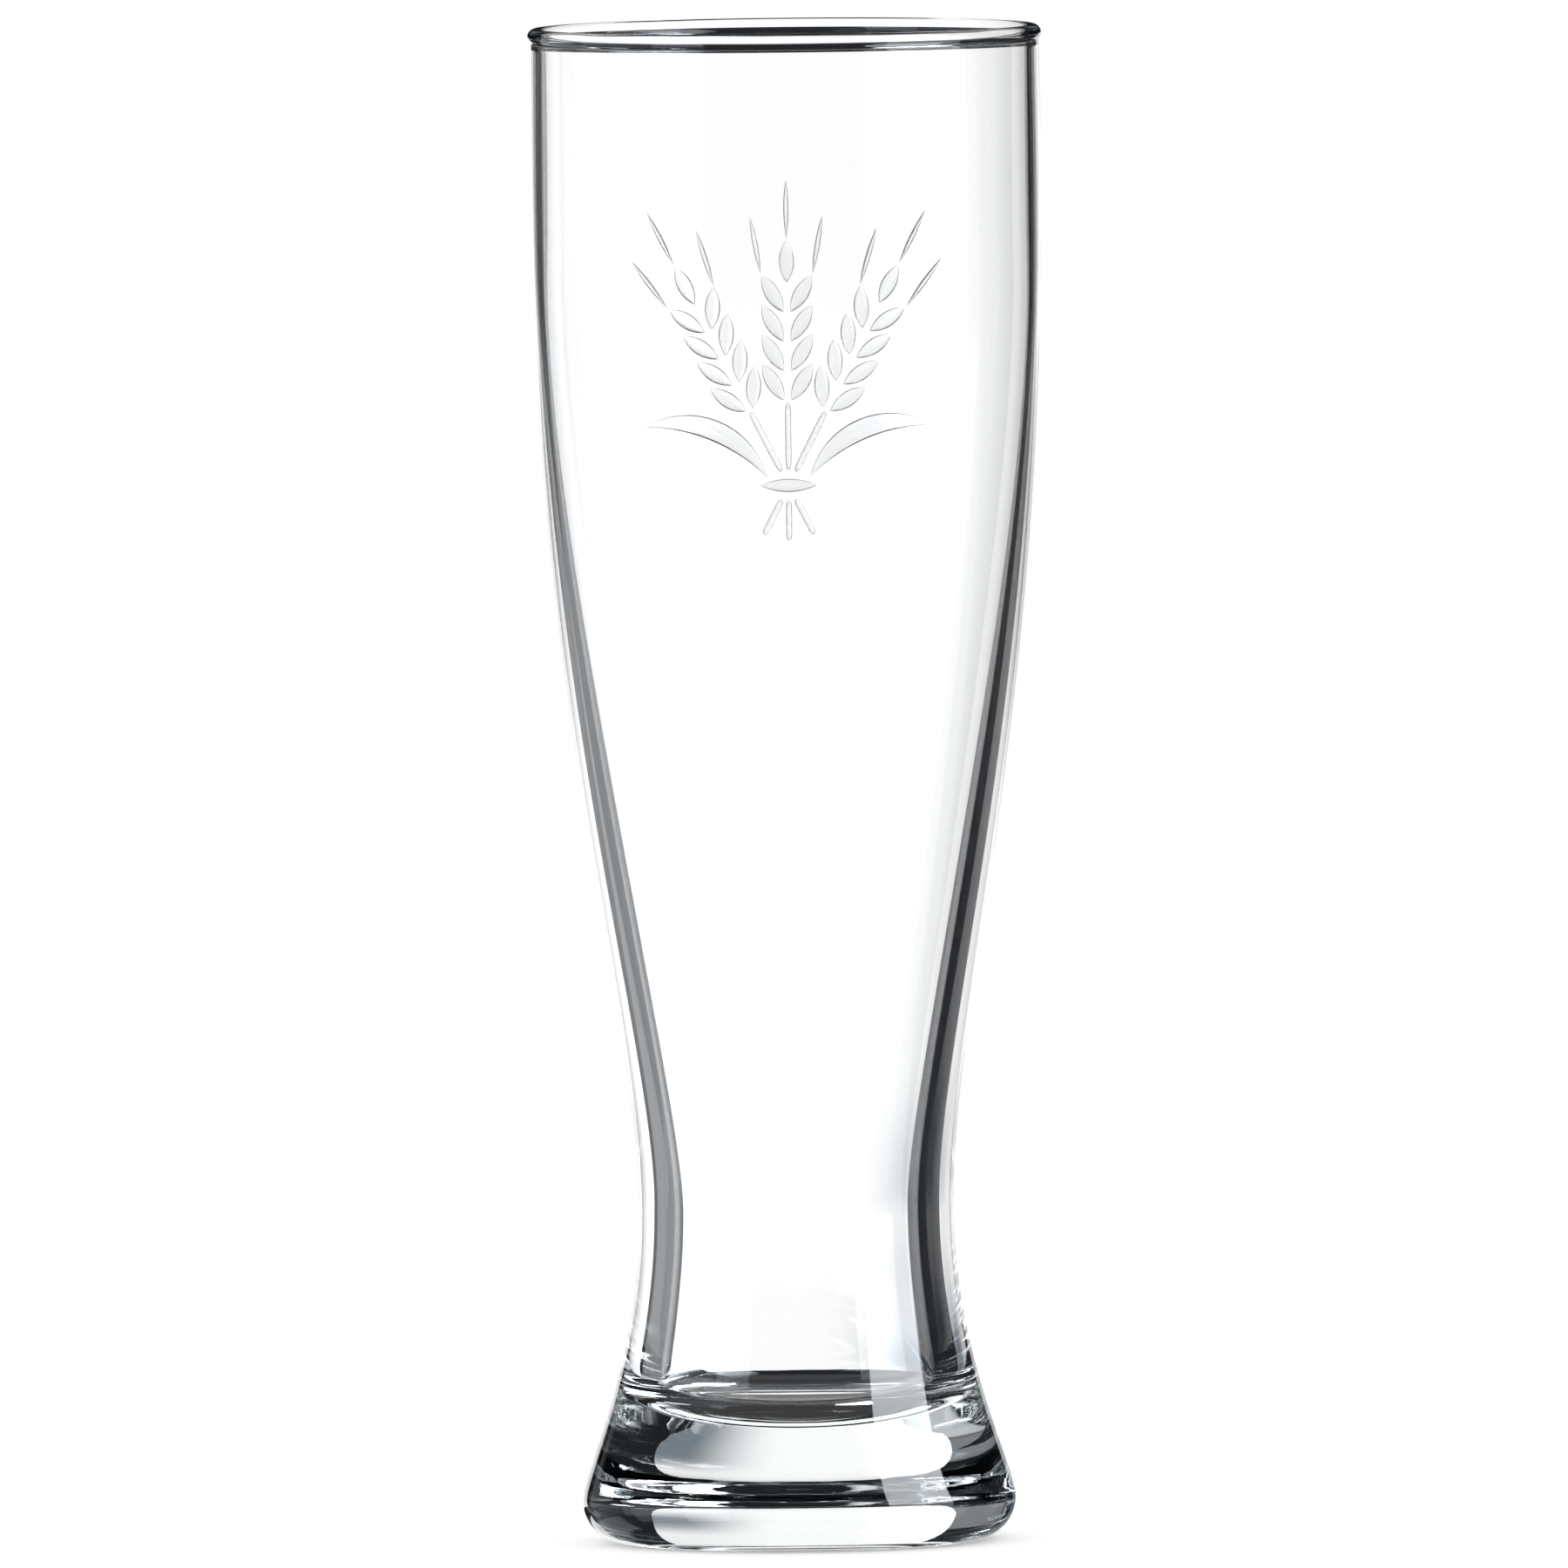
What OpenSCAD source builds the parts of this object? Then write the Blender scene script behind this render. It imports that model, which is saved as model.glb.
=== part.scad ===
// Tall pilsner glass: a thin rounded bowl on a thick drawn-in waist and a heavy solid foot,
// with a frosted sheaf of barley fired on the front of the bowl.

/* [Outside] */
// Height from the table to the top of the rim
total_h = 232; // [225:1:240]
// Outside diameter over the rounded rim
rim_d = 78.7; // [78:0.1:80]
// Outside diameter just under the rim
neck_d = 78; // [76:0.1:78.2]
// Outside diameter of the bowl at its fullest
belly_d = 78.3; // [78:0.1:82]
// Outside diameter of the waist at its narrowest
waist_d = 48.2; // [46:0.1:52]
// Outside diameter of the foot at its widest
foot_d = 66.3; // [62:0.1:70]
// Diameter of the ring that touches the table, at its outer edge
ring_d = 53.4; // [50:0.1:56]
// Diameter of the hollow under the foot
push_up_d = 42; // [34:0.5:48]

/* [Inside] */
// Inside diameter of the bowl below the rim
bowl_bore_d = 74.3; // [73:0.1:75]
// Inside diameter of the waist at its narrowest
waist_bore_d = 37.4; // [34:0.1:40]
// Inside diameter just above the rounded floor
floor_bore_d = 42.4; // [40:0.1:44]
// Radial thickness of the rounded rim
rim_t = 2.6; // [2.2:0.1:3]

/* [Heights] */
// Height of the foot's widest point
heel_h = 6.5; // [5:0.1:8]
// Height of the waist's narrowest point
waist_h = 50.5; // [47:0.5:54]
// Height of the bowl's fullest point
belly_h = 210; // [204:0.5:216]
// Height at which the inside of the bowl becomes straight
bowl_bore_h = 195; // [188:0.5:204]
// Height of the inside floor at its centre
floor_h = 15.2; // [14:0.1:18]
// Height at which the rounded floor meets the inside wall
floor_edge_h = 24.2; // [22:0.1:26]
// Rise of the hollow under the foot
push_up_h = 1.2; // [0.6:0.1:2]
// Height of the rounded rim above the plain wall
bead_h = 2.4; // [2:0.1:3]
// Height at which the bowl begins, on top of the waist
bowl_seam_h = 118; // [100:1:140]

/* [Frosted sheaf] */
// Height of the tie that holds the stalks
tie_h = 163.3; // [160:0.1:166]
// Thickness of the frosted layer
frost_t = 0.25; // [0.15:0.01:0.4]
// Angle between neighbouring stalks
stalk_angle = 27; // [24:1:32]
// Pairs of grains on each ear
grain_pairs = 4; // [3:1:4]

/* [Hidden] */
$fn = 96;

rim_r = rim_d / 2;
neck_r = neck_d / 2;
belly_r = belly_d / 2;
waist_r = waist_d / 2;
foot_r = foot_d / 2;
ring_r = ring_d / 2;
push_up_r = push_up_d / 2;
bowl_bore_r = bowl_bore_d / 2;
waist_bore_r = waist_bore_d / 2;
floor_bore_r = floor_bore_d / 2;
neck_h = total_h - bead_h;

// How far each curve keeps the upright direction of its end, as a share of the curve's height
heel_pull = 0.10;
waist_pull_down = 0.51;
waist_pull_up = 0.21;
belly_pull = 0.54;
bore_waist_pull = 0.15;
bore_bowl_pull = 0.35;
bore_floor_pull = 0.10;
bore_neck_pull = 0.45;

// Height of the round top of the rim, above its thickest point
rim_cap_h = 1.4;
// Roundness of the inside floor: 2 is an ellipse, and more is a flatter floor with tighter corners
floor_power = 2.2;

// Spacing of the outline's points, and the number of them on each round stretch
wall_step = 2.5;
heel_steps = 12;
rim_steps = 16;
neck_steps = 6;
floor_steps = 16;
push_up_steps = 6;
halvings = 30;

// Sizes of the sheaf's marks
grain_l = 6.4;
grain_w = 2.3;
grain_pitch = 4.5;
grain_splay = 30;
grain_offset = 0.6;
awn_l = 9;
awn_w = 0.8;
awn_splay = 10;
awn_gap = 0.3;
stalk_w = 0.9;
stalk_start = 2.4;
stalk_end = 12.6;
ear_start = 13;
stub_l = 6;
leaf_l = 20;
leaf_w = 3.2;
leaf_bow = 2;
leaf_angle = 68;
leaf_start = 3.6;
tie_l = 8.6;
tie_w = 2;
sheaf_low = tie_h - stalk_start - stub_l - 1;
sheaf_high = tie_h + ear_start + (grain_pairs * grain_pitch) + grain_l + awn_gap + awn_l + 1;
front_reach = 60;

clear_glass = [0.86, 0.92, 0.94, 0.5];
frost_white = [0.95, 0.96, 0.97];

function cubic(a, b, c, d, t) =
    a * pow(1 - t, 3) + 3 * b * t * pow(1 - t, 2) + 3 * c * t * t * (1 - t) + d * pow(t, 3);

// Where a rising curve reaches the height z, found by halving
function reach(z, z0, z1, pull0, pull1, low = 0, high = 1, left = halvings) =
    let (mid = (low + high) / 2, span = z1 - z0)
    left == 0 ? mid :
    cubic(z0, z0 + pull0 * span, z1 - pull1 * span, z1, mid) < z
        ? reach(z, z0, z1, pull0, pull1, mid, high, left - 1)
        : reach(z, z0, z1, pull0, pull1, low, mid, left - 1);

// Radius at the height z of a curve that is upright at both of its ends
function curve_r(z, z0, r0, z1, r1, pull0, pull1) =
    let (t = reach(z, z0, z1, pull0, pull1))
    cubic(r0, r0, r1, r1, t);

function outer_r(z) =
    z >= belly_h ? belly_r - (belly_r - neck_r) * pow((z - belly_h) / (neck_h - belly_h), 2) :
    z >= waist_h ? curve_r(z, waist_h, waist_r, belly_h, belly_r, waist_pull_up, belly_pull) :
    curve_r(z, heel_h, foot_r, waist_h, waist_r, heel_pull, waist_pull_down);

function inner_r(z) =
    z >= bowl_bore_h ? bowl_bore_r :
    z >= waist_h ? curve_r(z, waist_h, waist_bore_r, bowl_bore_h, bowl_bore_r,
                           bore_waist_pull, bore_bowl_pull) :
    curve_r(z, floor_edge_h, floor_bore_r, waist_h, waist_bore_r, bore_floor_pull, bore_neck_pull);

function heights(z0, z1) =
    let (count = ceil((z1 - z0) / wall_step))
    [for (i = [0 : count]) z0 + (z1 - z0) * i / count];

function outer_line(z0, z1) = [for (z = heights(z0, z1)) [outer_r(z), z]];

function inner_line(z0, z1) =
    let (levels = heights(z0, z1), last = len(levels) - 1)
    [for (i = [last : -1 : 0]) [inner_r(levels[i]), levels[i]]];

// Eases from 0 to 1 with a level start and end
function ease(t) = t * t * (3 - 2 * t);

// One ring of wall between two heights, cut level at both
module wall_ring(z0, z1) {
    rotate_extrude() polygon(concat(outer_line(z0, z1), inner_line(z0, z1)));
}

module foot() {
    underside = [for (i = [0 : push_up_steps])
        let (share = i / push_up_steps)
        [push_up_r * share, push_up_h * (1 - share * share)]];
    heel = [for (i = [0 : heel_steps - 1])
        let (angle = 90 * i / heel_steps)
        [ring_r + (foot_r - ring_r) * sin(angle), heel_h * (1 - cos(angle))]];
    floor_line = [for (i = [1 : floor_steps])
        let (angle = 90 * i / floor_steps)
        [floor_bore_r * pow(cos(angle), 2 / floor_power),
         floor_edge_h - (floor_edge_h - floor_h) * pow(sin(angle), 2 / floor_power)]];
    side = outer_line(heel_h, floor_edge_h);
    color(clear_glass)
        rotate_extrude()
            polygon(concat(underside, heel, side, [[floor_bore_r, floor_edge_h]], floor_line));
}

module waist() {
    color(clear_glass) wall_ring(floor_edge_h, bowl_seam_h);
}

module bowl() {
    color(clear_glass) wall_ring(bowl_seam_h, neck_h);
}

module rim_bead() {
    thick_h = total_h - rim_cap_h;
    middle_r = rim_r - rim_t / 2;
    outside = [for (i = [0 : neck_steps - 1])
        let (share = i / neck_steps)
        [neck_r + (rim_r - neck_r) * ease(share), neck_h + (thick_h - neck_h) * share]];
    cap = [for (i = [0 : rim_steps])
        let (angle = 180 * i / rim_steps)
        [middle_r + rim_t / 2 * cos(angle), thick_h + rim_cap_h * sin(angle)]];
    inside = [for (i = [neck_steps - 1 : -1 : 0])
        let (share = i / neck_steps)
        [bowl_bore_r + (rim_r - rim_t - bowl_bore_r) * ease(share), neck_h + (thick_h - neck_h) * share]];
    color(clear_glass) rotate_extrude() polygon(concat(outside, cap, inside));
}

// A pointed mark with two round sides, from the origin along Y
module lens(length, width) {
    side_r = (length * length + width * width) / (4 * width);
    translate([0, length / 2])
        intersection() {
            translate([side_r - width / 2, 0]) circle(side_r);
            translate([width / 2 - side_r, 0]) circle(side_r);
        }
}

// A circle through the origin and a point farther along Y, bowed to the left of the line between them
module bowed_circle(length, bow) {
    bow_r = (length * length / 4 + bow * bow) / (2 * bow);
    translate([bow_r - bow, length / 2]) circle(bow_r);
}

// A pointed mark bowed to the left, from the origin along Y
module sickle(length, width, bow) {
    difference() {
        bowed_circle(length, bow + width);
        bowed_circle(length, bow);
    }
}

module ear() {
    for (i = [0 : grain_pairs - 1], side = [-1, 1])
        translate([side * grain_offset, i * grain_pitch]) rotate(-side * grain_splay) lens(grain_l, grain_w);
    translate([0, grain_pairs * grain_pitch]) {
        lens(grain_l, grain_w);
        translate([0, grain_l + awn_gap]) lens(awn_l, awn_w);
    }
    for (side = [-1, 1])
        translate([side * grain_offset, (grain_pairs - 1) * grain_pitch])
            rotate(-side * grain_splay) translate([0, grain_l + awn_gap])
                rotate(side * (grain_splay - awn_splay)) lens(awn_l, awn_w);
}

// The sheaf drawn flat, with the tie at the origin
module sheaf_drawing() {
    for (turn = [-1 : 1])
        rotate(-turn * stalk_angle) {
            translate([-stalk_w / 2, stalk_start]) square([stalk_w, stalk_end - stalk_start]);
            translate([-stalk_w / 2, -stalk_start - stub_l]) square([stalk_w, stub_l]);
            translate([0, ear_start]) ear();
        }
    for (side = [0, 1])
        mirror([side, 0]) rotate(-leaf_angle) translate([0, leaf_start]) sickle(leaf_l, leaf_w, leaf_bow);
    rotate(90) translate([0, -tie_l / 2]) lens(tie_l, tie_w);
}

module frosted_sheaf() {
    levels = heights(bowl_seam_h, neck_h);
    on_bowl = [for (z = levels) if (z > sheaf_low - wall_step && z < sheaf_high + wall_step) z];
    last = len(on_bowl) - 1;
    layer = concat(
        [for (z = on_bowl) [outer_r(z) + frost_t, z]],
        [for (i = [last : -1 : 0]) [outer_r(on_bowl[i]), on_bowl[i]]]);
    color(frost_white)
        intersection() {
            rotate_extrude() polygon(layer);
            translate([0, 0, tie_h]) rotate([90, 0, 0]) linear_extrude(front_reach) sheaf_drawing();
        }
}

foot();
waist();
bowl();
rim_bead();
frosted_sheaf();
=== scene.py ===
"""Looks of the pilsner glass: one wall of clear glass with a frosted sheaf, in a plain bright studio."""

import math

import bmesh
import bpy
import numpy as np
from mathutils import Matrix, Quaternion, Vector


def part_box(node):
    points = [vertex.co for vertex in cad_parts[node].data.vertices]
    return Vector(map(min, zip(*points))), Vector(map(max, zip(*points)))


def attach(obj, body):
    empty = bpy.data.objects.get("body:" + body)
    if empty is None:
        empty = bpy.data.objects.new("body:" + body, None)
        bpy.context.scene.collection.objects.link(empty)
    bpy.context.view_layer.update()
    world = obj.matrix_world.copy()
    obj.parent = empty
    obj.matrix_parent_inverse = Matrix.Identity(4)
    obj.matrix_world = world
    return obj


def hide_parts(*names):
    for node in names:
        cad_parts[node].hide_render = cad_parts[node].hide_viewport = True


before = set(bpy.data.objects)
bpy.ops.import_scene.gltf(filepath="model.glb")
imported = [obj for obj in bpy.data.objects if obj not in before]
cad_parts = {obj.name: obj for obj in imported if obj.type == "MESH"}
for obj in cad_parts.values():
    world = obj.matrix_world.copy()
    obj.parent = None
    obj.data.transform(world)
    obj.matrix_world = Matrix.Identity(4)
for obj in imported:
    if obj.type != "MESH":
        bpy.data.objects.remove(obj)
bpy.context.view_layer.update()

# Sizes of the glass that the solids' boxes give, in metres
FOOT_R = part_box("foot")[1].x
FLOOR_EDGE_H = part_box("foot")[1].z
BELLY_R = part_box("bowl")[1].x
NECK_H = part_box("bowl")[1].z
RIM_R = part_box("rim_bead")[1].x
TOTAL_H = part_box("rim_bead")[1].z

# The other sizes of the same outline, in metres
NECK_R = 0.0390
WAIST_R = 0.0241
RING_R = 0.0267
PUSH_UP_R = 0.0210
BOWL_BORE_R = 0.03715
WAIST_BORE_R = 0.0187
FLOOR_BORE_R = 0.0212
RIM_T = 0.0026
RIM_CAP_H = 0.0014
HEEL_H = 0.0065
WAIST_H = 0.0505
BELLY_H = 0.2100
BOWL_BORE_H = 0.1950
FLOOR_H = 0.0152
PUSH_UP_H = 0.0012
FLOOR_POWER = 2.2

# How far each curve keeps the upright direction of its end, as a share of the curve's height
HEEL_PULL = 0.10
WAIST_PULL_DOWN = 0.51
WAIST_PULL_UP = 0.21
BELLY_PULL = 0.54
BORE_WAIST_PULL = 0.15
BORE_BOWL_PULL = 0.35
BORE_FLOOR_PULL = 0.10
BORE_NECK_PULL = 0.45

# Fineness of the turned mesh
TURN_STEPS = 192
WALL_STEPS = 120
SHORT_STEPS = 24
ROUND_STEPS = 28

# Frosted sheaf, drawn flat about its tie
TIE_H = 0.1633
STALK_ANGLE = math.radians(27)
STALK_W = 0.0009
STALK_START = 0.0024
STALK_END = 0.0126
STUB_L = 0.006
EAR_START = 0.0130
GRAIN_PAIRS = 4
GRAIN_L = 0.0064
GRAIN_W = 0.0023
GRAIN_PITCH = 0.0045
GRAIN_SPLAY = math.radians(30)
GRAIN_OFFSET = 0.0006
AWN_L = 0.009
AWN_W = 0.0008
AWN_SPLAY = math.radians(10)
AWN_GAP = 0.0003
LEAF_L = 0.020
LEAF_W = 0.0032
LEAF_BOW = 0.002
LEAF_ANGLE = math.radians(68)
LEAF_START = 0.0036
TIE_L = 0.0086
TIE_W = 0.002
FROST_T = 0.00025
FROST_SINK = 0.00003
MIDRIB_DEPTH = 0.6
MIDRIB_SHARE = 0.16
BAR_POWER = 8
MARK_STEPS = 20
CROWN_STEPS = 12

# Glass and frosted enamel
GLASS_IOR = 1.52
GLASS_TINT = (0.70, 0.745, 0.74)
GLASS_DENSITY = 6.0
STREAK_SCALE = (40, 40, 1100)
STREAK_DETAIL = 3
STREAK_DEPTH = 0.000004
STREAK_LOW = 0.020
STREAK_HIGH = 0.036
FROST_COLOUR = (0.96, 0.965, 0.97, 1)
FROST_GRAIN_SCALE = 5000
FROST_GRAIN_DETAIL = 2
FROST_ROUGH_LOW = 0.16
FROST_ROUGH_HIGH = 0.28
FROST_GRAIN_DEPTH = 0.00002

# Camera
CAMERA_DISTANCE = 7.4
CAMERA_ELEVATION = math.radians(2.83)
CAMERA_ROLL = math.radians(-0.6)
CAMERA_AIM = Vector((-0.0012, 0, 0.11595))
FRAME_WIDTH = 0.240
SENSOR_WIDTH = 36.0

# Card behind the glass, which only the glass sees: its edges, its strength in the middle and at the left,
# and the shade that grows towards its right, with the share of it that is left higher up
CARD_BACK = 0.213
CARD_LEFT_LOW = -0.135
CARD_LEFT_HIGH = -0.095
CARD_RIGHT = 0.110
CARD_LOW = -0.090
CARD_HIGH = 0.228
CARD_STRENGTH = 1.17
CARD_LEFT_STRENGTH = 1.45
CARD_LEFT_START = -0.03
CARD_LEFT_END = -0.075
CARD_WHITE = (1, 1, 1, 1)
CARD_SHADE = (0.18, 0.21, 0.24, 1)
CARD_SHADE_START = 0.008
CARD_SHADE_END = 0.075
CARD_SHADE_LOW = -0.015
CARD_SHADE_HIGH = 0.05
CARD_SHADE_SHARE = 0.12

# Dark sheets of painted shade on the table, which only the glass sees: one under it, and one behind it to the
# left, with its middle and half width in degrees and its distances from the glass's axis
UNDER_SHADE_SHEET_R = 0.026
UNDER_SHADE_SHEET_STRENGTH = 0.05
SIDE_SHADE_SHEET_MIDDLE = -45
SIDE_SHADE_SHEET_HALF_WIDTH = 25
SIDE_SHADE_SHEET_NEAR = 0.03
SIDE_SHADE_SHEET_FAR = 0.08
SIDE_SHADE_SHEET_STRENGTH = 0.02

# Soft lights round the glass: middle and half width in degrees from straight behind towards the right,
# lowest and highest elevation, widths of the soft edges at the sides and at the top and bottom, and strength.
# They share one cool colour, and the room between them is dark.
LIGHTS = {
    "left_wall": (-49, 17, -14, 6, 3, 3, 0.3),
    "table_on_left": (-45, 16, -33, -19, 6, 4, 0.8),
    "left_panel": (-92, 20, -14, 8, 4, 4, 0.9),
    "right_panel": (88, 22, -14, 8, 4, 4, 0.1),
    "table_in_front": (180, 100, -25, -8, 4, 4, 0.8),
    "left_softbox": (-128, 13, -28, 12, 1, 3, 2.0),
    "right_softbox": (110, 20, -3, 40, 1, 3, 2.2),
    "right_softbox_low": (110, 20, -55, -34, 1, 10, 6.0),
    "right_softbox_high": (110, 20, 16, 40, 1, 14, 9.0),
    "low_glow": (0, 180, -95, -45, 5, 5, 0.06),
}
LIGHT_COLOUR = (0.76, 0.80, 0.84, 1)
ROOM_DARK = (0.015, 0.017, 0.020, 1)

# Floor, and the distances between which the shadow fades out
FLOOR_R = 1.2
FLOOR_DROP = 0.0001
FLOOR_WHITE = 0.985
SHADOW_R = 0.020
SHADOW_END_R = 0.040

# Most times that a ray is followed through the glass
BOUNCES = 24


def cubic(a, b, c, d, t):
    """Value at t of a curve with four control values."""
    rest = 1 - t
    return a * rest**3 + 3 * b * t * rest**2 + 3 * c * t**2 * rest + d * t**3


def upright_curve(low, high, pull_low, pull_high, steps):
    """Points of a curve from one (radius, height) up to another, upright at both of its ends."""
    t = np.linspace(0, 1, steps + 1)
    span = high[1] - low[1]
    radius = cubic(low[0], low[0], high[0], high[0], t)
    height = cubic(low[1], low[1] + pull_low * span, high[1] - pull_high * span, high[1], t)
    return np.column_stack((radius, height))


def ease(t):
    """Goes from 0 to 1 with a level start and end."""
    return t * t * (3 - 2 * t)


def outside_line():
    """Radius and height up the outside, from the standing ring to the top of the rim."""
    angle = np.linspace(0, math.pi / 2, ROUND_STEPS + 1)
    heel = np.column_stack((RING_R + (FOOT_R - RING_R) * np.sin(angle), HEEL_H * (1 - np.cos(angle))))
    lower = upright_curve((FOOT_R, HEEL_H), (WAIST_R, WAIST_H), HEEL_PULL, WAIST_PULL_DOWN, WALL_STEPS)
    upper = upright_curve((WAIST_R, WAIST_H), (BELLY_R, BELLY_H), WAIST_PULL_UP, BELLY_PULL, WALL_STEPS)
    share = np.linspace(0, 1, SHORT_STEPS + 1)
    neck = np.column_stack((BELLY_R - (BELLY_R - NECK_R) * share**2, BELLY_H + (NECK_H - BELLY_H) * share))
    thick_h = TOTAL_H - RIM_CAP_H
    swell = np.column_stack((NECK_R + (RIM_R - NECK_R) * ease(share), NECK_H + (thick_h - NECK_H) * share))
    half = RIM_T / 2
    cap = np.column_stack((RIM_R - half + half * np.cos(angle), thick_h + RIM_CAP_H * np.sin(angle)))
    return np.concatenate((heel, lower[1:], upper[1:], neck[1:], swell[1:], cap[1:]))


def inside_line():
    """Radius and height down the inside, from the top of the rim to the middle of the floor."""
    angle = np.linspace(math.pi / 2, math.pi, ROUND_STEPS + 1)
    share = np.linspace(1, 0, SHORT_STEPS + 1)
    half = RIM_T / 2
    thick_h = TOTAL_H - RIM_CAP_H
    cap = np.column_stack((RIM_R - half + half * np.cos(angle), thick_h + RIM_CAP_H * np.sin(angle)))
    lip_r = RIM_R - RIM_T
    swell_r = BOWL_BORE_R + (lip_r - BOWL_BORE_R) * ease(share)
    swell = np.column_stack((swell_r, NECK_H + (thick_h - NECK_H) * share))
    straight_h = BOWL_BORE_H + (NECK_H - BOWL_BORE_H) * share
    straight = np.column_stack((np.full_like(share, BOWL_BORE_R), straight_h))
    upper = upright_curve((WAIST_BORE_R, WAIST_H), (BOWL_BORE_R, BOWL_BORE_H),
                          BORE_WAIST_PULL, BORE_BOWL_PULL, WALL_STEPS)
    lower = upright_curve((FLOOR_BORE_R, FLOOR_EDGE_H), (WAIST_BORE_R, WAIST_H),
                          BORE_FLOOR_PULL, BORE_NECK_PULL, SHORT_STEPS)
    bend = np.linspace(0, math.pi / 2, 2 * ROUND_STEPS + 1)
    power = 2 / FLOOR_POWER
    floor_r = FLOOR_BORE_R * np.clip(np.cos(bend), 0, 1) ** power
    floor_h = FLOOR_EDGE_H - (FLOOR_EDGE_H - FLOOR_H) * np.sin(bend) ** power
    floor = np.column_stack((floor_r, floor_h))
    return np.concatenate((cap, swell[1:], straight[1:], upper[::-1][1:], lower[::-1][1:], floor[1:]))


def underside_line():
    """Radius and height along the hollow underside, from its middle to the standing ring."""
    share = np.linspace(0, 1, SHORT_STEPS + 1)
    return np.column_stack((PUSH_UP_R * share, PUSH_UP_H * (1 - share**2)))


def with_normals(line):
    """Adds to each point of a line the direction that points out of the glass, to the line's right."""
    length = np.concatenate(([0], np.cumsum(np.hypot(*np.diff(line, axis=0).T))))
    along = np.gradient(line, length, axis=0)
    along /= np.linalg.norm(along, axis=1, keepdims=True)
    return np.column_stack((line, along[:, 1], -along[:, 0]))


def turned(name, line):
    """A mesh turned about the vertical axis from a line that starts and ends on it."""
    turn = np.linspace(0, 2 * math.pi, TURN_STEPS, endpoint=False)
    ring = line[1:-1]
    count = len(ring)
    x = np.cos(turn)[:, None]
    y = np.sin(turn)[:, None]
    points = np.stack((x * ring[:, 0], y * ring[:, 0], np.broadcast_to(ring[:, 1], (TURN_STEPS, count))), 2)
    normals = np.stack((x * ring[:, 2], y * ring[:, 2], np.broadcast_to(ring[:, 3], (TURN_STEPS, count))), 2)
    points = np.concatenate((points.reshape(-1, 3), [(0, 0, line[0, 1]), (0, 0, line[-1, 1])]))
    normals = np.concatenate((normals.reshape(-1, 3), [(0, 0, -1), (0, 0, 1)]))
    last = len(points) - 1
    first = last - 1
    faces = []
    for i in range(TURN_STEPS):
        here = i * count
        there = (i + 1) % TURN_STEPS * count
        faces.append((first, there, here))
        faces += [(here + j, there + j, there + j + 1, here + j + 1) for j in range(count - 1)]
        faces.append((here + count - 1, there + count - 1, last))
    mesh = bpy.data.meshes.new(name)
    mesh.from_pydata(points.tolist(), [], faces)
    mesh.polygons.foreach_set("use_smooth", [True] * len(faces))
    mesh.normals_split_custom_set_from_vertices(normals.tolist())
    piece = bpy.data.objects.new(name, mesh)
    bpy.context.scene.collection.objects.link(piece)
    return piece


def node_maker(tree):
    """A function that adds a node to an emptied tree, with its settings, values and linked inputs."""
    tree.nodes.clear()

    def add(kind, values=None, links=None, **settings):
        node = tree.nodes.new(kind)
        for name, setting in settings.items():
            setattr(node, name, setting)
        for socket, value in (values or {}).items():
            node.inputs[socket].default_value = value
        for socket, source in (links or {}).items():
            tree.links.new(source, node.inputs[socket])
        return node

    return add


def new_material(name):
    """An empty material and the function that adds nodes to it."""
    material = bpy.data.materials.new(name)
    material.use_nodes = True
    return material, node_maker(material.node_tree)


def clear_glass():
    """Clear glass, with the faint level streaks of pressed glass in the foot."""
    material, add = new_material("clear_glass_look")
    place = add("ShaderNodeTexCoord").outputs["Object"]
    stretched = add("ShaderNodeVectorMath", {1: STREAK_SCALE}, {0: place}, operation="MULTIPLY")
    streaks = add("ShaderNodeTexNoise", {"Scale": 1, "Detail": STREAK_DETAIL},
                  {"Vector": stretched.outputs["Vector"]})
    height = add("ShaderNodeSeparateXYZ", links={"Vector": place}).outputs["Z"]
    in_foot = soft_edge(add, height, STREAK_HIGH, STREAK_LOW)
    relief = math_node(add, "MULTIPLY", streaks.outputs["Fac"], in_foot)
    bump = add("ShaderNodeBump", {"Strength": 1, "Distance": STREAK_DEPTH}, {"Height": relief})
    glass = add("ShaderNodeBsdfPrincipled", {
        "Base Color": (1, 1, 1, 1), "Roughness": 0, "IOR": GLASS_IOR, "Transmission Weight": 1},
        {"Normal": bump.outputs["Normal"]})
    depth = add("ShaderNodeVolumeAbsorption", {"Color": (*GLASS_TINT, 1), "Density": GLASS_DENSITY})
    add("ShaderNodeOutputMaterial",
        links={"Surface": glass.outputs["BSDF"], "Volume": depth.outputs["Volume"]})
    return material


def frosted_enamel():
    """Matt see-through enamel with a fine grain."""
    material, add = new_material("frosted_enamel_look")
    place = add("ShaderNodeTexCoord").outputs["Object"]
    grain = add("ShaderNodeTexNoise", {"Scale": FROST_GRAIN_SCALE, "Detail": FROST_GRAIN_DETAIL},
                {"Vector": place})
    rough = add("ShaderNodeMapRange", {"To Min": FROST_ROUGH_LOW, "To Max": FROST_ROUGH_HIGH},
                {"Value": grain.outputs["Fac"]})
    bump = add("ShaderNodeBump", {"Strength": 1, "Distance": FROST_GRAIN_DEPTH},
               {"Height": grain.outputs["Fac"]})
    frost = add("ShaderNodeBsdfPrincipled", {
        "Base Color": FROST_COLOUR, "IOR": GLASS_IOR, "Transmission Weight": 1},
        {"Roughness": rough.outputs["Result"], "Normal": bump.outputs["Normal"]})
    add("ShaderNodeOutputMaterial", links={"Surface": frost.outputs["BSDF"]})
    return material


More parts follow.
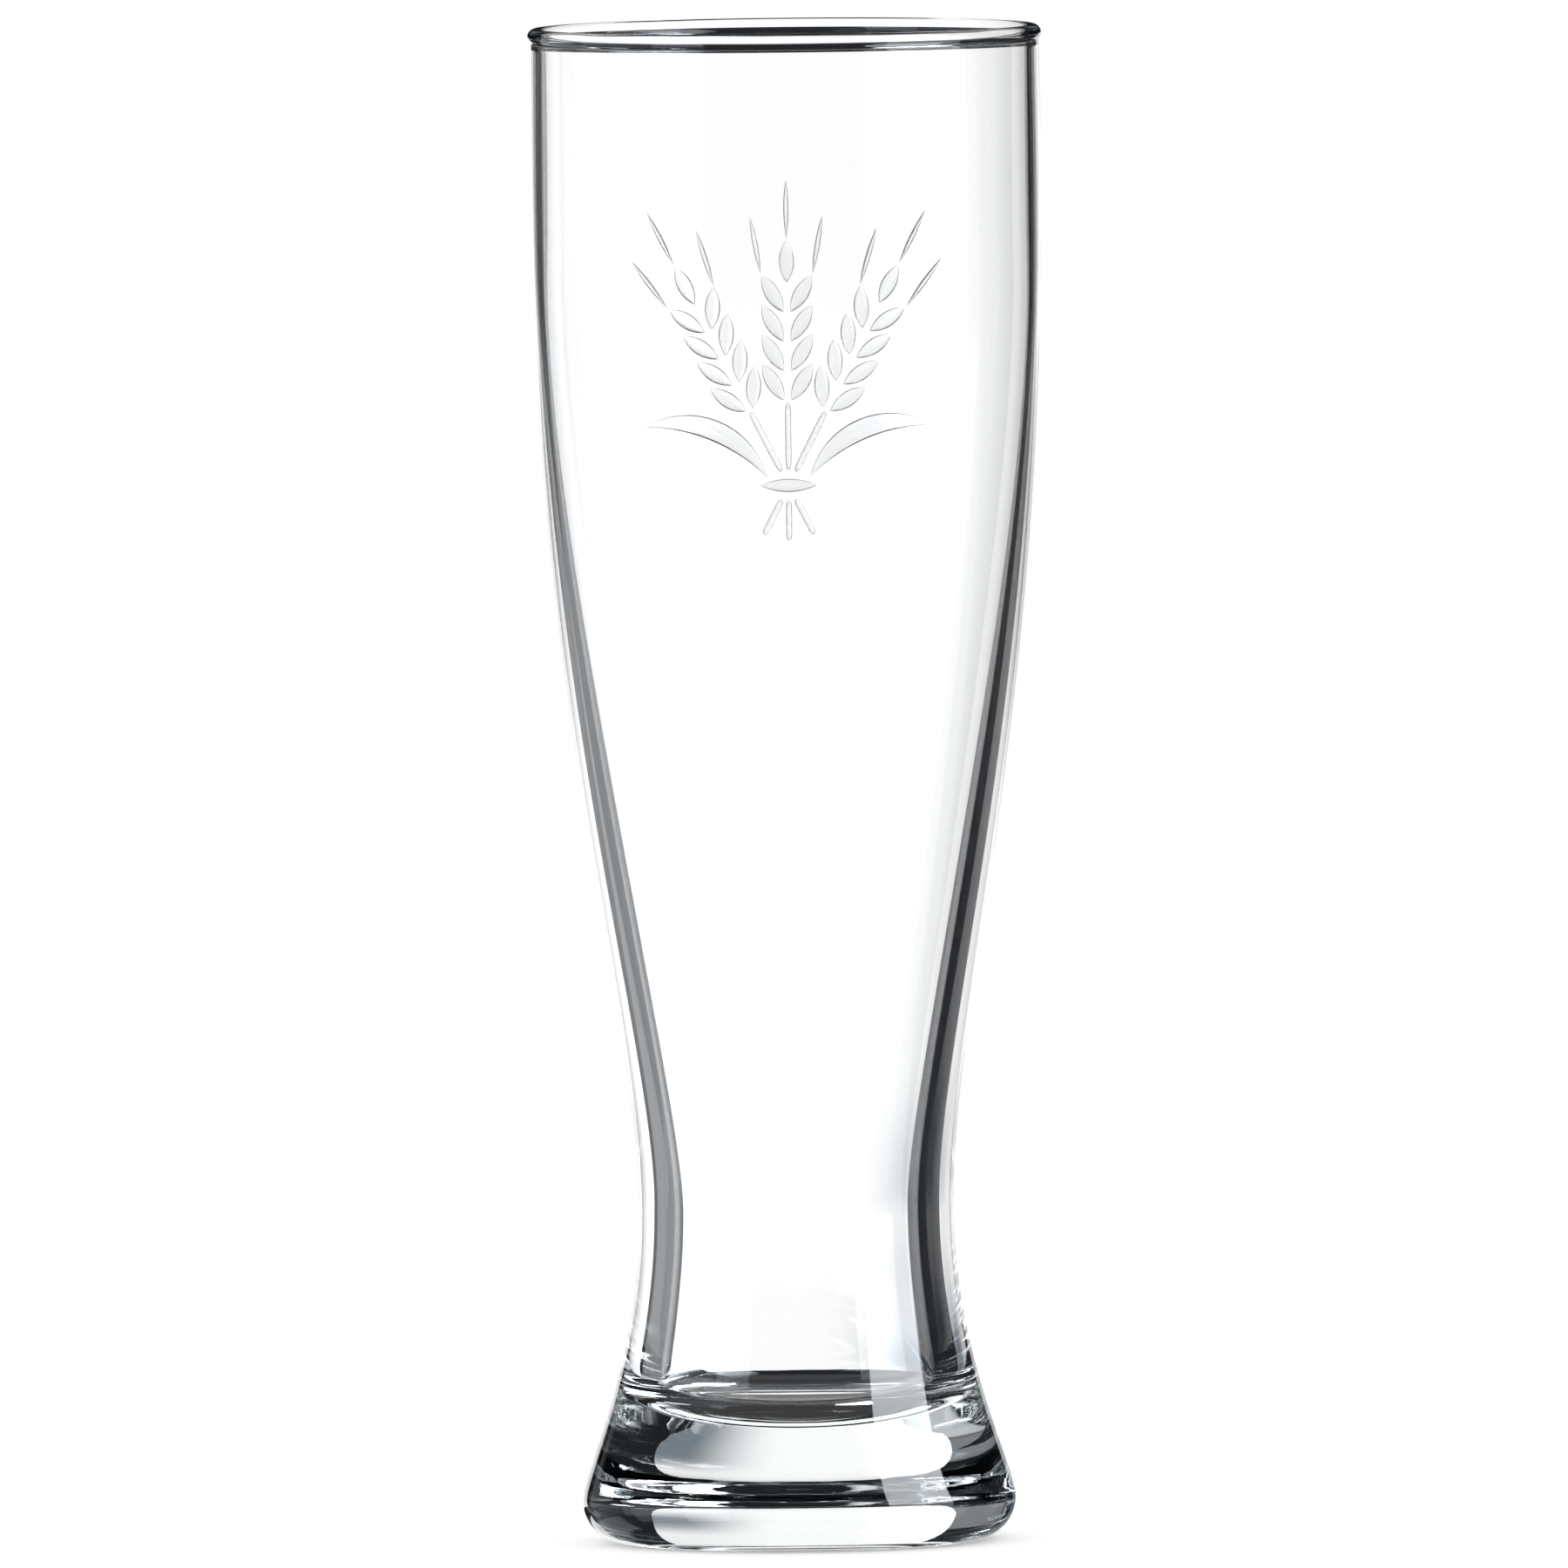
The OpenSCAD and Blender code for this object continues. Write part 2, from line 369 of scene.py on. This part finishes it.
def make_glass():
    """One unbroken wall, from the middle of the underside round the rim to the middle of the floor."""
    wall = with_normals(np.concatenate((outside_line(), inside_line()[1:])))
    glass = turned("glass_body", np.concatenate((with_normals(underside_line()), wall)))
    glass.data.materials.append(clear_glass())
    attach(glass, "root")
    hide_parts("foot", "waist", "bowl", "rim_bead")


def places_along(length):
    """Places along a mark, closer together towards its ends."""
    return length * (1 - np.cos(np.linspace(0, math.pi, MARK_STEPS + 1))) / 2


def lens_sides(length, width):
    """Left and right side, along a pointed mark with two round sides."""
    along = places_along(length)
    side_r = (length**2 + width**2) / (4 * width)
    half = np.sqrt(side_r**2 - (along - length / 2)**2) - (side_r - width / 2)
    return along, -half, half


def bar_sides(length, width):
    """Left and right side, along a straight mark with rounded ends."""
    along = places_along(length)
    half = width / 2 * np.sqrt(1 - np.abs(2 * along / length - 1)**BAR_POWER)
    return along, -half, half


def sickle_sides(length, width, bow):
    """Left and right side, along a pointed mark bowed to the left."""
    along = places_along(length)
    sides = []
    for reach in (bow + width, bow):
        bow_r = (length**2 / 4 + reach**2) / (2 * reach)
        sides.append(bow_r - reach - np.sqrt(bow_r**2 - (along - length / 2)**2))
    return along, sides[0], sides[1]


def placed(sides, start, turn, mirrored=1):
    """The flat grid of a mark that starts at a point and is turned clockwise from upright."""
    along, left, right = sides
    share = np.linspace(0, 1, CROWN_STEPS + 1)
    x = left[:, None] + (right - left)[:, None] * share
    y = np.broadcast_to(along[:, None], x.shape)
    flat_x = start[0] + x * math.cos(turn) + y * math.sin(turn)
    flat_y = start[1] - x * math.sin(turn) + y * math.cos(turn)
    return mirrored * flat_x, flat_y


def beyond(start, turn, distance):
    """The point at a distance from another, in the direction turned clockwise from upright."""
    return start[0] + distance * math.sin(turn), start[1] + distance * math.cos(turn)


def ear_marks(start, turn):
    """Grains in pairs with one on top, and the awns that grow out of the uppermost three."""
    across = turn + math.pi / 2
    grain = lens_sides(GRAIN_L, GRAIN_W)
    awn = lens_sides(AWN_L, AWN_W)
    marks = []
    for pair in range(GRAIN_PAIRS):
        for side in (-1, 1):
            foot = beyond(beyond(start, turn, pair * GRAIN_PITCH), across, side * GRAIN_OFFSET)
            marks.append(placed(grain, foot, turn + side * GRAIN_SPLAY))
            if pair == GRAIN_PAIRS - 1:
                tip = beyond(foot, turn + side * GRAIN_SPLAY, GRAIN_L + AWN_GAP)
                marks.append(placed(awn, tip, turn + side * AWN_SPLAY))
    top = beyond(start, turn, GRAIN_PAIRS * GRAIN_PITCH)
    marks.append(placed(grain, top, turn))
    marks.append(placed(awn, beyond(top, turn, GRAIN_L + AWN_GAP), turn))
    return marks


def sheaf_marks():
    """Each mark of the sheaf as a flat grid and whether it has a midrib."""
    plain = [placed(lens_sides(TIE_L, TIE_W), (-TIE_L / 2, 0), math.pi / 2)]
    stalk = bar_sides(STALK_END - STALK_START, STALK_W)
    stub = bar_sides(STUB_L, STALK_W)
    for turn in (-STALK_ANGLE, 0, STALK_ANGLE):
        plain.append(placed(stalk, beyond((0, 0), turn, STALK_START), turn))
        plain.append(placed(stub, beyond((0, 0), turn, -STALK_START - STUB_L), turn))
        plain += ear_marks(beyond((0, 0), turn, EAR_START), turn)
    leaf = sickle_sides(LEAF_L, LEAF_W, LEAF_BOW)
    leaf_foot = beyond((0, 0), LEAF_ANGLE, LEAF_START)
    leaves = [placed(leaf, leaf_foot, LEAF_ANGLE, mirrored) for mirrored in (1, -1)]
    return [(grid, False) for grid in plain] + [(grid, True) for grid in leaves]


def on_bowl(flat_x, flat_y, lift):
    """Points at a height above the bowl's front, under the points of a flat drawing."""
    wall = outside_line()
    height = TIE_H + flat_y
    radius = np.interp(height, wall[:, 1], wall[:, 0])
    lean = np.arctan(np.interp(height, wall[:, 1], np.gradient(wall[:, 0], wall[:, 1])))
    depth = np.sqrt(radius**2 - flat_x**2)
    out = np.stack((np.cos(lean) * flat_x / radius, -np.cos(lean) * depth / radius, -np.sin(lean)), 2)
    return np.stack((flat_x, -depth, height), 2) + out * lift[..., None]


def add_pad(bm, grid, midrib):
    """A closed crowned pad on the bowl, with its underside just inside the glass."""
    flat_x, flat_y = grid
    rows, columns = flat_x.shape
    across = np.linspace(-1, 1, columns)
    crown = 1 - across**2
    if midrib:
        crown = crown * (1 - MIDRIB_DEPTH * np.exp(-(across / MIDRIB_SHARE)**2))
    width = np.hypot(flat_x[:, -1] - flat_x[:, 0], flat_y[:, -1] - flat_y[:, 0])
    fullness = np.sqrt(width / width.max())
    top = on_bowl(flat_x, flat_y, FROST_T * fullness[:, None] * crown)
    under = on_bowl(flat_x, flat_y, np.full_like(flat_x, -FROST_SINK))
    tops = [[bm.verts.new(p) for p in row] for row in top[1:-1]]
    unders = [[bm.verts.new(p) for p in row] for row in under[1:-1]]
    skins = [over + below[::-1] for over, below in zip(tops, unders)]
    ends = [bm.verts.new(under[0, 0]), bm.verts.new(under[-1, 0])]
    count = 2 * columns
    for near, far in zip(skins, skins[1:]):
        for j in range(count):
            k = (j + 1) % count
            bm.faces.new((near[j], near[k], far[k], far[j]))
    for j in range(count):
        k = (j + 1) % count
        bm.faces.new((ends[0], skins[0][k], skins[0][j]))
        bm.faces.new((ends[1], skins[-1][j], skins[-1][k]))


def make_sheaf():
    """The frosted sheaf as crowned pads, each with its own round shoulders."""
    bm = bmesh.new()
    for grid, midrib in sheaf_marks():
        add_pad(bm, grid, midrib)
    bmesh.ops.recalc_face_normals(bm, faces=bm.faces)
    mesh = bpy.data.meshes.new("frosted_relief")
    bm.to_mesh(mesh)
    bm.free()
    mesh.polygons.foreach_set("use_smooth", [True] * len(mesh.polygons))
    mesh.materials.append(frosted_enamel())
    sheaf = bpy.data.objects.new("frosted_relief", mesh)
    bpy.context.scene.collection.objects.link(sheaf)
    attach(sheaf, "root")
    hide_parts("frosted_sheaf")


def soft_change(add, source, start, end, first, last):
    """Goes softly from the first value to the last as the source goes from its start to its end."""
    change = add("ShaderNodeMapRange", {"From Min": start, "From Max": end, "To Min": first, "To Max": last},
                 {"Value": source}, interpolation_type="SMOOTHSTEP")
    return change.outputs["Result"]


def soft_edge(add, source, outside, inside):
    """Rises softly from 0 to 1 as the source goes from one value to the other."""
    return soft_change(add, source, outside, inside, 0, 1)


def math_node(add, operation, first, second=None):
    """The result of one operation on one or two linked values."""
    links = {0: first} if second is None else {0: first, 1: second}
    return add("ShaderNodeMath", links=links, operation=operation).outputs[0]


def soft_light(add, direction, elevation, middle, half_width, low, high, side_edge, level_edge, strength):
    """The light of one soft panel, by the direction that it is seen in."""
    turned_to = add("ShaderNodeVectorRotate", {"Angle": math.radians(middle)}, {"Vector": direction},
                    rotation_type="Z_AXIS")
    axes = add("ShaderNodeSeparateXYZ", links={"Vector": turned_to.outputs["Vector"]})
    aside = math_node(add, "ABSOLUTE", math_node(add, "ARCTAN2", axes.outputs["X"], axes.outputs["Y"]))
    across = soft_edge(add, aside, math.radians(half_width + side_edge), math.radians(half_width))
    above = soft_edge(add, elevation, math.radians(low - level_edge), math.radians(low))
    below = soft_edge(add, elevation, math.radians(high + level_edge), math.radians(high))
    share = math_node(add, "MULTIPLY", across, math_node(add, "MULTIPLY", above, below))
    level = add("ShaderNodeMath", {1: strength}, {0: share}, operation="MULTIPLY")
    return add("ShaderNodeBackground", {"Color": LIGHT_COLOUR}, {"Strength": level.outputs[0]}).outputs[0]


def make_world():
    """White all round for the camera and the floor, and a dark room with soft panels for the glass."""
    world = bpy.data.worlds.new("studio")
    bpy.context.scene.world = world
    world.use_nodes = True
    add = node_maker(world.node_tree)
    direction = add("ShaderNodeTexCoord").outputs["Generated"]
    height = add("ShaderNodeSeparateXYZ", links={"Vector": direction}).outputs["Z"]
    elevation = math_node(add, "ARCSINE", height)
    room = add("ShaderNodeBackground", {"Color": ROOM_DARK}).outputs[0]
    for light in LIGHTS.values():
        panel = soft_light(add, direction, elevation, *light)
        room = add("ShaderNodeAddShader", links={0: room, 1: panel}).outputs[0]
    plain = add("ShaderNodeBackground", {"Color": (1, 1, 1, 1)})
    path = add("ShaderNodeLightPath")
    by_glass = math_node(add, "MAXIMUM", path.outputs["Is Glossy Ray"], path.outputs["Is Transmission Ray"])
    seen = add("ShaderNodeMixShader", links={0: by_glass, 1: plain.outputs[0], 2: room})
    add("ShaderNodeOutputWorld", links={"Surface": seen.outputs[0]})


def make_stage_piece(name, points, material):
    """A flat piece of the studio, which isn't part of the object."""
    mesh = bpy.data.meshes.new(name)
    mesh.from_pydata(points, [], [tuple(range(len(points)))])
    mesh.materials.append(material)
    piece = bpy.data.objects.new(name, mesh)
    bpy.context.scene.collection.objects.link(piece)
    return piece


def only_for_glass(piece):
    """Hides a piece from the camera and the floor."""
    piece.visible_camera = False
    piece.visible_diffuse = False
    piece.visible_shadow = False


def make_card():
    """A white card close behind the glass, shaded towards its lower right."""
    material, add = new_material("card_look")
    place = add("ShaderNodeSeparateXYZ", links={"Vector": add("ShaderNodeTexCoord").outputs["Object"]})
    to_right = soft_edge(add, place.outputs["X"], CARD_SHADE_START, CARD_SHADE_END)
    low_down = soft_change(add, place.outputs["Z"], CARD_SHADE_LOW, CARD_SHADE_HIGH, 1, CARD_SHADE_SHARE)
    shade = math_node(add, "MULTIPLY", to_right, low_down)
    strength = soft_change(
        add, place.outputs["X"], CARD_LEFT_END, CARD_LEFT_START, CARD_LEFT_STRENGTH, CARD_STRENGTH)
    colour = add("ShaderNodeMix", {"A": CARD_WHITE, "B": CARD_SHADE}, {"Factor": shade}, data_type="RGBA")
    glow = add("ShaderNodeEmission", links={"Color": colour.outputs["Result"], "Strength": strength})
    add("ShaderNodeOutputMaterial", links={"Surface": glow.outputs[0]})
    corners = [(x, CARD_BACK, z) for x, z in (
        (CARD_LEFT_LOW, CARD_LOW), (CARD_RIGHT, CARD_LOW), (CARD_RIGHT, CARD_HIGH),
        (CARD_LEFT_HIGH, CARD_HIGH))]
    only_for_glass(make_stage_piece("card", corners, material))


def disc(radius, level):
    """Corners of a level disc about the glass's axis."""
    turn = np.linspace(0, 2 * math.pi, TURN_STEPS, endpoint=False)
    return [(radius * math.cos(a), radius * math.sin(a), level) for a in turn]


def make_shade_sheet(name, points, strength):
    """A sheet of painted shade on the table with a faint glow, which only the glass sees."""
    material, add = new_material(name + "_look")
    glow = add("ShaderNodeEmission", {"Strength": strength})
    add("ShaderNodeOutputMaterial", links={"Surface": glow.outputs[0]})
    only_for_glass(make_stage_piece(name, points, material))


def make_shade_sheets():
    """Dark sheets of painted shade that keep the table's light out of the inside floor and the foot's side.
    """
    level = -FLOOR_DROP / 2
    # Painted shade: a dim disc under the foot and a dim sheet behind it to the left stand in for the shade
    # near the glass
    make_shade_sheet("under_shade_sheet", disc(UNDER_SHADE_SHEET_R, level), UNDER_SHADE_SHEET_STRENGTH)
    left = math.radians(SIDE_SHADE_SHEET_MIDDLE - SIDE_SHADE_SHEET_HALF_WIDTH)
    right = math.radians(SIDE_SHADE_SHEET_MIDDLE + SIDE_SHADE_SHEET_HALF_WIDTH)
    points = [(r * math.sin(a), r * math.cos(a), level) for r, a in (
        (SIDE_SHADE_SHEET_NEAR, left), (SIDE_SHADE_SHEET_NEAR, right), (SIDE_SHADE_SHEET_FAR, right), (SIDE_SHADE_SHEET_FAR, left))]
    make_shade_sheet("side_shade_sheet", points, SIDE_SHADE_SHEET_STRENGTH)


def make_floor():
    """A pale floor that keeps the shadow close to the glass and is plain white farther out."""
    material, add = new_material("floor_look")
    matt = add("ShaderNodeBsdfDiffuse", {"Color": (FLOOR_WHITE, FLOOR_WHITE, FLOOR_WHITE, 1)})
    white = add("ShaderNodeEmission")
    place = add("ShaderNodeTexCoord").outputs["Object"]
    far = add("ShaderNodeVectorMath", links={0: place}, operation="LENGTH")
    fade = soft_edge(add, far.outputs["Value"], SHADOW_R, SHADOW_END_R)
    share = math_node(add, "MULTIPLY", fade, add("ShaderNodeLightPath").outputs["Is Camera Ray"])
    mix = add("ShaderNodeMixShader", links={0: share, 1: matt.outputs[0], 2: white.outputs[0]})
    add("ShaderNodeOutputMaterial", links={"Surface": mix.outputs[0]})
    floor = make_stage_piece("floor", disc(FLOOR_R, -FLOOR_DROP), material)
    floor.visible_transmission = False
    floor.visible_glossy = False


def make_camera():
    """The photograph's camera, far off and a little above level."""
    data = bpy.data.cameras.new("camera")
    data.sensor_width = SENSOR_WIDTH
    data.lens = SENSOR_WIDTH * CAMERA_DISTANCE / FRAME_WIDTH
    camera = bpy.data.objects.new("camera", data)
    bpy.context.scene.collection.objects.link(camera)
    back = Vector((0, -math.cos(CAMERA_ELEVATION), math.sin(CAMERA_ELEVATION)))
    camera.location = CAMERA_AIM + back * CAMERA_DISTANCE
    camera.rotation_mode = "QUATERNION"
    camera.rotation_quaternion = (-back).to_track_quat("-Z", "Y") @ Quaternion((0, 0, 1), CAMERA_ROLL)
    bpy.context.scene.camera = camera


def set_render():
    """Plain view of the colours, and enough bounces for two walls of glass."""
    scene = bpy.context.scene
    scene.view_settings.view_transform = "Standard"
    scene.cycles.max_bounces = BOUNCES
    scene.cycles.transmission_bounces = BOUNCES
    scene.cycles.glossy_bounces = BOUNCES
    scene.cycles.transparent_max_bounces = BOUNCES


make_camera()
make_glass()
make_sheaf()
make_world()
make_card()
make_shade_sheets()
make_floor()
set_render()
